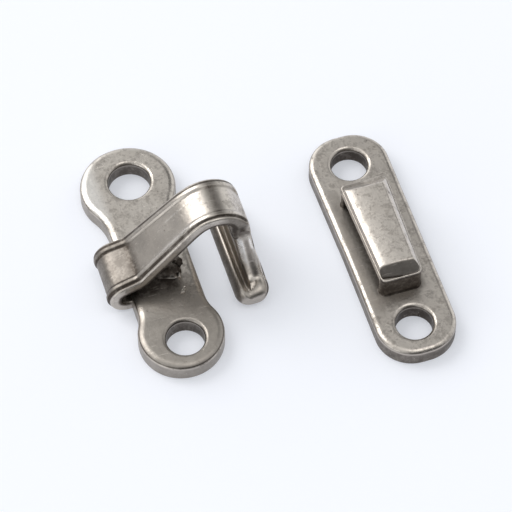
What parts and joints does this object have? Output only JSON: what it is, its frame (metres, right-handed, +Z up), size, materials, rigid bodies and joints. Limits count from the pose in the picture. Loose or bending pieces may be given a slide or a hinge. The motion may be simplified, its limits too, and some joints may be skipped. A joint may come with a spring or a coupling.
{
  "type": "hook and eye clasp",
  "caption": "Two-part metal clasp: a plate with a strap bent into an arched hook, and a plate with a raised bar that it catches, both with fixing holes.",
  "frame": {"origin": "middle of the pair's bounding box on the resting plane", "axes": "+Z up from the resting plane; +X from the hook half to the eye half; +Y along both plates towards the hook plate's large end"},
  "size_m": [0.035, 0.0356, 0.0125],
  "materials": {
    "hook_metal": "antique nickel plating, dark in the hollows, worn bright on the edges",
    "eye_metal": "antique nickel plating, dark in the hollows, worn bright on the edges"
  },
  "bodies": {
    "root": {"hook": "hook_metal", "eye": "eye_metal"}
  },
  "joints": []
}
